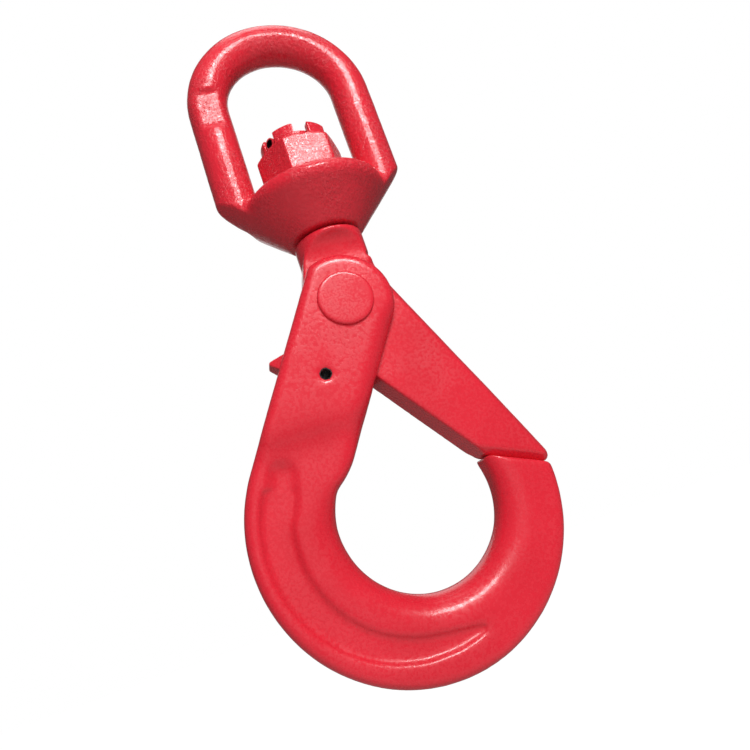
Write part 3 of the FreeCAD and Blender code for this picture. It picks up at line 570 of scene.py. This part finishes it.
@dataclass
class Workshop:
    """What every sub-assembly needs: the shared trees and the finishes.

    Attributes:
        skin: the geometry tree of the skins.
        relief: the shared relief group.
        edges: the shared group of pale edges and painted shade in hollows.
        paints: the paint that goes over each surface.
        steel: bare spring steel.
    """

    skin: bpy.types.NodeTree
    relief: bpy.types.NodeTree
    edges: bpy.types.NodeTree
    paints: dict[Surface, bpy.types.Material]
    steel: bpy.types.Material

    def painted_skin(
        self,
        node: str,
        body: str,
        surface: Surface,
        soften: "SoftZone | None" = None,
        reshape: Callable[[Vector], Vector] | None = None,
        **changes: float,
    ) -> bpy.types.Object:
        """Make a painted skin from a node's shape, put it on its body and hide the node.

        Args:
            node: the frame's node.
            body: the body it rides on.
            surface: how rough the metal is.
            soften: where its edges are rounded further.
            reshape: gives a point of the skin its new place.
            **changes: sizes that differ from the surface's own.

        Returns:
            The finished piece.
        """
        settings = {**SKINS[surface].__dict__, **changes}
        draft = self.link(node + "_draft", self.welded_copy(node))
        voxels = draft.modifiers.new("even_mesh", "REMESH")
        voxels.mode = "VOXEL"
        voxels.voxel_size = settings["voxel"] * MM
        voxels.adaptivity = 0.0
        even = self.finished_mesh(draft)
        draft = self.link(node + "_draft", even)
        if reshape:
            for point in even.vertices:
                point.co = reshape(point.co)
        rounding = draft.modifiers.new("paint_rounding", "SMOOTH")
        rounding.factor = 0.5
        rounding.iterations = int(settings["rounds"])
        if soften:
            self.soften(draft, soften)
        self.add_lumps(draft, settings, self.paints[surface])
        piece = self.link(node + "_skin", self.finished_mesh(draft))
        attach(piece, body)
        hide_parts(node)
        LOG.info("%s: %d faces", piece.name, len(piece.data.polygons))
        return piece

    def welded_copy(self, node: str) -> bpy.types.Mesh:
        """A copy of a node's mesh with its loose triangles joined.

        Args:
            node: the frame's node.

        Returns:
            The new mesh.
        """
        mesh = frame["nodes"][node].data.copy()
        welded = bmesh.new()
        welded.from_mesh(mesh)
        bmesh.ops.remove_doubles(welded, verts=welded.verts, dist=1e-7)
        welded.to_mesh(mesh)
        welded.free()
        return mesh

    def link(self, name: str, mesh: bpy.types.Mesh) -> bpy.types.Object:
        """Put a mesh in the scene as a new object and return it."""
        obj = bpy.data.objects.new(name, mesh)
        bpy.context.scene.collection.objects.link(obj)
        return obj

    def finished_mesh(self, draft: bpy.types.Object) -> bpy.types.Mesh:
        """Turn a draft and its modifiers into a plain mesh and take the draft away.

        Args:
            draft: the object with its modifiers.

        Returns:
            The plain mesh.
        """
        depsgraph = bpy.context.evaluated_depsgraph_get()
        mesh = bpy.data.meshes.new_from_object(draft.evaluated_get(depsgraph))
        bpy.data.objects.remove(draft)
        return mesh

    def soften(self, draft: bpy.types.Object, zone: "SoftZone") -> None:
        """Round a zone of the skin further.

        Args:
            draft: the skin's draft.
            zone: where, and how much.
        """
        group = draft.vertex_groups.new(name="soft_zone")
        for point in draft.data.vertices:
            weight = zone.weight(point.co)
            if weight > 0.0:
                group.add([point.index], weight, "REPLACE")
        rounding = draft.modifiers.new("zone_rounding", "SMOOTH")
        rounding.factor = 0.5
        rounding.iterations = zone.rounds
        rounding.vertex_group = "soft_zone"

    def add_lumps(
        self, draft: bpy.types.Object, settings: dict[str, float], paint: bpy.types.Material
    ) -> None:
        """Give a draft the forging's lumps and its paint.

        Args:
            draft: the skin's draft.
            settings: the skin's sizes.
            paint: its finish.
        """
        lumps = draft.modifiers.new("lumps", "NODES")
        lumps.node_group = self.skin
        values = {
            "Lump Height": settings["lump_height"] * MM,
            "Lump Size": settings["lump_size"] * MM,
            "Dent Depth": settings["dent_depth"] * MM,
            "Dent Size": settings["dent_size"] * MM,
            "Seed": float(settings["seed"]),
            "Material": paint,
        }
        for socket in self.skin.interface.items_tree:
            if socket.item_type == "SOCKET" and socket.in_out == "INPUT" and socket.name in values:
                lumps[socket.identifier] = values[socket.name]

    def dress(self, node: str, material: bpy.types.Material) -> None:
        """Give a frame node that keeps its own shape a better material.

        Args:
            node: the frame's node.
            material: its finish.
        """
        obj = frame["nodes"][node]
        obj.data.materials.clear()
        obj.data.materials.append(material)
        LOG.info("%s: keeps its frame shape", node)

    def pin_paint(self, node: str, turn: float, radius: float) -> bpy.types.Material:
        """The paint of a hollow pin, whose bore gets a near-black painted shade.

        Args:
            node: the pin's node.
            turn: its turn about +Z from +Y, in degrees.
            radius: the bore's radius, in millimetres.

        Returns:
            The material.
        """
        low, high = (Vector(corner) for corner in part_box(node))
        bore = Bore(tuple((low + high) / 2), turn, radius * MM)
        name = "red_paint_on_" + node
        paint = RedPaint(name, pit_scale=1500.0, pit_depth=0.4, bump=0.00003, bore=bore)
        return paint.make(self.relief, self.edges)


def rounded_corner(depth: float, side: float, half: float, radius: float) -> tuple[float, float]:
    """Move a point of a bar's square corner onto a round one.

    Args:
        depth: the point's distance in from the wall.
        side: its distance from the bar's middle plane.
        half: half of the bar's thickness.
        radius: the round corner's radius.

    Returns:
        The new depth and the new distance from the middle plane.
    """
    inward, beyond = radius - depth, abs(side) - (half - radius)
    far = math.hypot(inward, beyond)
    if inward <= 0.0 or beyond <= 0.0 or far <= radius:
        return depth, side
    share = radius / far
    return radius - inward * share, math.copysign(half - radius + beyond * share, side)


def fade(value: float, start: float, end: float) -> float:
    """A straight fade from 0 at start to 1 at end."""
    return min(1.0, max(0.0, (value - start) / (end - start)))


@dataclass(frozen=True)
class SoftZone:
    """A ball in which a skin's edges are rounded further.

    Attributes:
        centre: its centre, in metres.
        full: the radius within which the rounding is full.
        none: the radius beyond which there is none.
        rounds: how many more times the mesh is smoothed.
    """

    centre: Vector
    full: float
    none: float
    rounds: int

    def weight(self, point: Vector) -> float:
        """How much a point is rounded, from 0 to 1.

        Args:
            point: the point, in metres.

        Returns:
            The share.
        """
        far = (point - self.centre).length
        return min(1.0, max(0.0, (self.none - far) / (self.none - self.full)))


# ------------------------------------------------------------------ sub-assemblies


@dataclass
class SwivelEye:
    """The forged eye with its conical collar, and the washer that lies in it."""

    shop: Workshop
    body: str = "eye"

    def build(self) -> None:
        """Make the eye's skin and the washer's."""
        self.shop.painted_skin("bail", self.body, Surface.COARSE, rounds=8)
        self.shop.painted_skin("thrust_washer", self.body, Surface.MACHINED)


@dataclass
class LatchArm:
    """The latch arm with its threaded stem, the castle nut and the spring pin that locks it.

    Attributes:
        shop: the shared workshop.
        body: the body its pieces ride on.
        pin_turn: the nut pin's turn about +Z from +Y, in degrees.
        pin_bore: the radius of its bore's painted shade, in millimetres.
        edge_lean: the lean of the arm's outer edge, in degrees.
        edge_reach: the outer edge's distance from the load pin, in millimetres.
        edge_strip: the width of the strip that is drawn in, in millimetres.
        drawn_in: how far it is drawn in at its tip and how much more beside the pin, in millimetres.
        inwards: the direction in which it is drawn in, across and up, along the seam.
    """

    shop: Workshop
    body: str = "arm"
    pin_turn: float = 125.0
    pin_bore: float = 1.7
    edge_lean: float = 23.8
    edge_reach: float = 21.6
    edge_strip: float = 8.0
    drawn_in: tuple[float, float] = (1.3, 0.9)
    inwards: tuple[float, float] = (-0.95, 0.30)

    def build(self) -> None:
        """Make the arm's skin and the nut's, and paint the pin."""
        joints = frame["record"]["behaviour"]["joints"]
        opening = next(joint for joint in joints if joint["name"] == "hook_open")
        self.pivot = Vector(opening["pos_m"]) / MM
        self.shop.painted_skin(
            "latch_arm", self.body, Surface.FINE, reshape=self.slimmed, voxel=0.6, rounds=8
        )
        self.shop.painted_skin(
            "castle_nut", self.body, Surface.COARSE, voxel=0.42, rounds=3, lump_height=0.1
        )
        # painted shade: the nut pin's bore is coloured near-black
        paint = self.shop.pin_paint("nut_spring_pin", self.pin_turn, self.pin_bore)
        self.shop.dress("nut_spring_pin", paint)


    def slimmed(self, point: Vector) -> Vector:
        """Draw the arm's outer edge in a little, most of all behind the fork.

        Args:
            point: a point of the arm, in metres.

        Returns:
            Its new place.
        """
        place = point / MM
        lean = math.radians(self.edge_lean)
        right, rise = place.x - self.pivot.x, place.z - self.pivot.z
        out = right * math.cos(lean) + rise * math.sin(lean)
        share = fade(out, self.edge_reach - self.edge_strip, self.edge_reach) * fade(rise, 16.0, 9.0)
        push = share * (self.drawn_in[0] + self.drawn_in[1] * fade(rise, -50.0, 0.0))
        return Vector((place.x + push * self.inwards[0], place.y, place.z + push * self.inwards[1])) * MM


@dataclass
class HookBody:
    """The forked hook with its load pin and the trigger's spring pin.

    Attributes:
        shop: the shared workshop.
        body: the body its pieces ride on.
        bowl_round: the rounding of the bowl's inside, in millimetres.
        bowl_sharp: its least rounding, at the throat, in millimetres.
        front_round: the rounding of the shank's front, in millimetres.
        front_sharp: its rounding at both ends, in millimetres.
        front_length: the length of the straight front, in millimetres.
        bowl_half: half of the bowl's thickness, in millimetres.
        fork_half: half of the fork's thickness, in millimetres.
        slope: the heights between which the fork's faces slope in, in millimetres.
        front_top: the upper end of the shank's straight front, in millimetres.
        front_lean: its lean, in degrees.
        pin_bore: the radius that the paint leaves open at the spring pin, in millimetres.
        hole_rad: the radius of the spring pin's hole, in millimetres.
        hole_reach: the radius within which the paint closes in on it, in millimetres.
        tip_thinner: how much thinner the bowl is at its tip, as a share.
        tip_turn: the direction of the tip from the bowl's centre, in degrees.
        throat_turn: the direction in which the bowl meets the throat, in degrees.
        dimple: the ends of the dimple in which the web starts, across and up, in millimetres.
        dimple_reach: its half width, in millimetres.
        dimple_depth: its depth before it is smoothed, in millimetres.
        web_depth: the web's depth, in millimetres, below which the dimple doesn't go.
    """

    shop: Workshop
    body: str = "hook"
    bowl_round: float = 10.0
    bowl_sharp: float = 4.2
    front_round: float = 6.0
    front_sharp: float = 3.4
    front_length: float = 42.0
    bowl_half: float = 11.0
    fork_half: float = 14.0
    slope: tuple[float, float] = (-163.3, -149.3)
    front_top: tuple[float, float] = (11.46, -123.41)
    front_lean: float = 33.0
    pin_bore: float = 1.7
    hole_rad: float = 2.53
    hole_reach: float = 5.0
    tip_thinner: float = 0.22
    tip_turn: float = 25.0
    throat_turn: float = 150.0
    dimple: tuple[tuple[float, float], tuple[float, float]] = ((-42.2, -166.8), (-45.0, -177.0))
    dimple_reach: float = 5.4
    dimple_depth: float = 2.2
    web_depth: float = 2.0

    def build(self) -> None:
        """Make the hook's skin and the load pin's, and paint the spring pin."""
        seat = next(mount for mount in frame["record"]["mounts"] if mount["name"] == "hook_bowl")
        self.bowl = seat["dims"]["r_mm"]
        self.middle = Vector(seat["pos_m"]) / MM + Vector((0.0, 0.0, self.bowl))
        low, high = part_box("trigger_spring_pin")
        self.pin_axis = Vector((low[0] + high[0], 0.0, low[2] + high[2])) / 2 / MM
        ring = SoftZone(self.middle * MM, 0.040, 0.064, 16)
        self.shop.painted_skin("hook_body", self.body, Surface.FINE, soften=ring, reshape=self.rounded)
        self.shop.painted_skin("load_pin", self.body, Surface.MACHINED)
        # painted shade: the spring pin's bore, out to the hole's radius, is coloured near-black
        paint = self.shop.pin_paint("trigger_spring_pin", 0.0, self.hole_rad)
        self.shop.dress("trigger_spring_pin", paint)

    def rounded(self, point: Vector) -> Vector:
        """Give a point of the hook body the skin's shape.

        Args:
            point: the point, in metres.

        Returns:
            Its new place.
        """
        place = self.round_bowl(point / MM)
        place = self.closed_hole(self.dimpled(place))
        return self.round_front(place) * MM

    def round_bowl(self, place: Vector) -> Vector:
        """Round the inside of the bowl like a bar and thin it towards its tip.

        Args:
            place: a point of the hook body, in millimetres.

        Returns:
            Its new place.
        """
        across, up = place.x - self.middle.x, place.z - self.middle.z
        far = math.hypot(across, up)
        turn = math.degrees(math.atan2(up, across)) % 360.0
        if self.tip_turn <= turn <= self.throat_turn:
            return place
        on_throat_side = turn > self.tip_turn
        at_throat = fade(turn, self.throat_turn, 178.0) if on_throat_side else 1.0
        from_left = turn - 180.0 if on_throat_side else turn + 180.0
        at_tip = 0.45 + 0.55 * fade(from_left, self.tip_turn + 180.0, 150.0)
        radius = self.bowl_sharp + (self.bowl_round - self.bowl_sharp) * min(at_throat, at_tip)
        depth, side = rounded_corner(far - self.bowl, place.y, self.bowl_half, radius)
        share = (self.bowl + depth) / far
        side *= 1.0 - self.tip_thinner * fade(from_left, 95.0, 200.0)
        return Vector((self.middle.x + across * share, side, self.middle.z + up * share))

    def round_front(self, place: Vector) -> Vector:
        """Round the shank's straight front like a bar.

        Args:
            place: a point of the hook body, in millimetres.

        Returns:
            Its new place.
        """
        lean, run_out, beyond = math.radians(self.front_lean), 12.0, -4.0
        right, rise = place.x - self.front_top[0], place.z - self.front_top[1]
        along = -right * math.sin(lean) - rise * math.cos(lean)
        depth = -right * math.cos(lean) + rise * math.sin(lean)
        start, end = -8.0, self.front_length + run_out
        if not start < along < end or not beyond < depth < self.front_round:
            return place
        share = fade(place.z, *self.slope)
        half = self.bowl_half + (self.fork_half - self.bowl_half) * share * share * (3.0 - 2.0 * share)
        blend = min(fade(along, start, start + run_out), fade(along, end, self.front_length))
        radius = self.front_sharp + (self.front_round - self.front_sharp) * blend
        inward, side = rounded_corner(depth, place.y, half, radius)
        push = inward - depth
        return Vector((place.x - push * math.cos(lean), side, place.z + push * math.sin(lean)))

    def dimpled(self, place: Vector) -> Vector:
        """Sink the round dimple in which the web starts.

        Args:
            place: a point of the hook body, in millimetres.

        Returns:
            Its new place.
        """
        start, end = Vector(self.dimple[0]), Vector(self.dimple[1])
        spot = Vector((place.x, place.z))
        along = min(1.0, max(0.0, (spot - start).dot(end - start) / (end - start).length_squared))
        off = (spot - start.lerp(end, along)).length / self.dimple_reach
        high = abs(place.y)
        if off >= 1.0 or high < self.bowl_half - 1.5:
            return place
        sunk = high - self.dimple_depth * (1.0 - off * off) ** 0.8
        level = max(sunk, min(high, self.bowl_half - self.web_depth))
        return Vector((place.x, math.copysign(level, place.y), place.z))

    def closed_hole(self, place: Vector) -> Vector:
        """Let the cheeks' paint run over the spring pin's ends, up to its bore.

        Args:
            place: a point of the hook body, in millimetres.

        Returns:
            Its new place.
        """
        spoke = Vector((place.x - self.pin_axis.x, 0.0, place.z - self.pin_axis.z))
        if abs(place.y) < self.fork_half - 2.5 or not 1.0 < spoke.length < self.hole_reach:
            return place
        share = fade(spoke.length, self.hole_rad, self.hole_reach)
        spoke *= (self.pin_bore + (self.hole_reach - self.pin_bore) * share) / spoke.length
        return Vector((self.pin_axis.x + spoke.x, place.y, self.pin_axis.z + spoke.z))


@dataclass
class ReleaseTrigger:
    """The thumb trigger and its torsion spring.

    Attributes:
        shop: the shared workshop.
        body: the body its pieces ride on.
        tab_length: how much of the thumb tab narrows, in millimetres.
        tab_share: its tip's width as a share of the trigger's.
    """

    shop: Workshop
    body: str = "release"
    tab_length: float = 9.0
    tab_share: float = 0.5

    def build(self) -> None:
        """Make the trigger's skin and dress the spring."""
        self.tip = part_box("trigger")[0][0]
        self.shop.painted_skin(
            "trigger", self.body, Surface.FINE, reshape=self.narrowed, voxel=0.4, rounds=4, lump_height=0.06
        )
        self.shop.dress("trigger_spring", self.shop.steel)

    def narrowed(self, point: Vector) -> Vector:
        """Narrow the thumb tab towards its tip.

        Args:
            point: a point of the trigger, in metres.

        Returns:
            Its new place.
        """
        share = fade(point.x, self.tip, self.tip + self.tab_length * MM)
        return Vector((point.x, point.y * (self.tab_share + (1.0 - self.tab_share) * share), point.z))


# ------------------------------------------------------------------ studio


@dataclass(frozen=True)
class SoftBox:
    """A soft light that points at the hook's middle.

    Attributes:
        name: its name.
        place: where it hangs, in metres.
        width: its width, in metres.
        height: its height, in metres.
        power: its power, in watts.
        mirrored: whether the gloss shows it.
    """

    name: str
    place: tuple[float, float, float]
    width: float
    height: float
    power: float
    mirrored: bool = True


SOFTBOXES: tuple[SoftBox, ...] = (
    SoftBox("key_softbox", (0.16, -0.72, 0.46), 0.40, 0.20, 5.6),
    SoftBox("fill_softbox", (-0.10, -0.85, -0.05), 0.70, 0.70, 3.0, mirrored=False),
    SoftBox("top_softbox", (0.15, 0.05, 0.75), 0.40, 0.40, 1.2),
    SoftBox("back_softbox", (0.10, 0.75, 0.35), 0.60, 0.60, 1.0),
)


@dataclass
class Studio:
    """The floor, the soft lights and the camera.

    Attributes:
        azimuth: the camera's direction round the swivel axis, in degrees.
        elevation: its height above the horizon, in degrees.
        roll: its turn about its own axis, in degrees.
        distance: from the camera to its target, in metres.
        target: the point that it looks at, in metres.
        lens: its focal length on a 36 mm wide sensor, in millimetres.
    """

    azimuth: float = -13.31
    elevation: float = -13.5
    roll: float = -18.96
    distance: float = 0.24804
    target: Vector = field(default_factory=lambda: Vector((0.00055, 0.0, -0.13988)))
    lens: float = 32.67

    def build(self) -> None:
        """Make all of it."""
        self.make_floor()
        self.make_lights()
        self.make_camera()

    def axes(self) -> tuple[Vector, Vector, Vector]:
        """The camera's own right, up and backward directions, before it is rolled.

        Returns:
            Three unit vectors.
        """
        side, lift = math.radians(self.azimuth), math.radians(self.elevation)
        back = Vector((math.sin(side) * math.cos(lift), -math.cos(side) * math.cos(lift), math.sin(lift)))
        right = Vector((0, 0, 1)).cross(back).normalized()
        return right, back.cross(right), back

    def make_floor(self) -> None:
        """A wide pale floor well below the hanging hook."""
        mesh = bpy.data.meshes.new("studio_floor")
        reach, level = 6.0, -0.62
        mesh.from_pydata(
            [(-reach, -reach, level), (reach, -reach, level), (reach, reach, level), (-reach, reach, level)],
            [],
            [(0, 1, 2, 3)],
        )
        floor = bpy.data.objects.new("studio_floor", mesh)
        bpy.context.scene.collection.objects.link(floor)
        floor.data.materials.append(StudioFloor().make())

    def make_lights(self) -> None:
        """Soft boxes and a pale, even surround."""
        world = bpy.data.worlds.new("studio_air")
        bpy.context.scene.world = world
        world.use_nodes = True
        air = world.node_tree.nodes["Background"]
        air.inputs["Color"].default_value = (1.0, 1.0, 1.0, 1.0)
        seen = world.node_tree.nodes.new("ShaderNodeLightPath")
        glow = world.node_tree.nodes.new("ShaderNodeMapRange")
        glow.inputs["To Max"].default_value = 1.0
        mirrored = world.node_tree.nodes.new("ShaderNodeMapRange")
        mirrored.inputs["To Min"].default_value = 0.24
        mirrored.inputs["To Max"].default_value = 0.10
        world.node_tree.links.new(seen.outputs["Is Glossy Ray"], mirrored.inputs["Value"])
        world.node_tree.links.new(mirrored.outputs["Result"], glow.inputs["To Min"])
        world.node_tree.links.new(seen.outputs["Is Camera Ray"], glow.inputs["Value"])
        world.node_tree.links.new(glow.outputs["Result"], air.inputs["Strength"])
        for box in SOFTBOXES:
            light = bpy.data.lights.new(box.name, "AREA")
            light.energy = box.power
            light.shape = "RECTANGLE"
            light.size = box.width
            light.size_y = box.height
            lamp = bpy.data.objects.new(box.name, light)
            lamp.location = box.place
            aim = Vector((0.0, 0.0, -0.11)) - lamp.location
            lamp.rotation_euler = aim.to_track_quat("-Z", "Y").to_euler()
            lamp.visible_glossy = box.mirrored
            bpy.context.scene.collection.objects.link(lamp)

    def make_camera(self) -> None:
        """The camera at the angle from which the hook is shown."""
        right, up, back = self.axes()
        turn = math.radians(self.roll)
        across = right * math.cos(turn) + up * math.sin(turn)
        upward = up * math.cos(turn) - right * math.sin(turn)
        lens = bpy.data.cameras.new("studio_camera")
        lens.lens = self.lens
        lens.sensor_width = 36.0
        lens.clip_start = 0.01
        camera = bpy.data.objects.new("studio_camera", lens)
        bpy.context.scene.collection.objects.link(camera)
        stand = Matrix((across, upward, back)).transposed().to_4x4()
        stand.translation = self.target + back * self.distance
        camera.matrix_world = stand
        bpy.context.scene.camera = camera


def main() -> None:
    """Build the sub-assemblies in order, then the studio."""
    logging.basicConfig(level=logging.INFO, format="%(name)s %(message)s")
    bpy.context.scene.view_settings.view_transform = "Standard"
    relief, edges = forged_relief_group(), edge_wear_and_hollow_shade_group()
    coarse = RedPaint("red_paint_on_coarse_forging", roughness=0.17, pit_scale=820.0, bump=0.00015)
    fine = RedPaint(
        "red_paint_on_fine_forging", roughness=0.22, pit_depth=0.35, peel_depth=0.7, bump=0.00006
    )
    machined = RedPaint(
        "red_paint_on_machined_steel", roughness=0.20, pit_scale=1300.0, pit_depth=0.3, bump=0.00004
    )
    shop = Workshop(
        skin=skin_tree(),
        relief=relief,
        edges=edges,
        paints={
            Surface.COARSE: coarse.make(relief, edges),
            Surface.FINE: fine.make(relief, edges),
            Surface.MACHINED: machined.make(relief, edges),
        },
        steel=OiledSteel("oiled_spring_steel").make(relief),
    )
    for assembly in (SwivelEye(shop), LatchArm(shop), HookBody(shop), ReleaseTrigger(shop)):
        LOG.info("building %s", type(assembly).__name__)
        assembly.build()
    Studio().build()


if __name__ == "__main__":
    main()
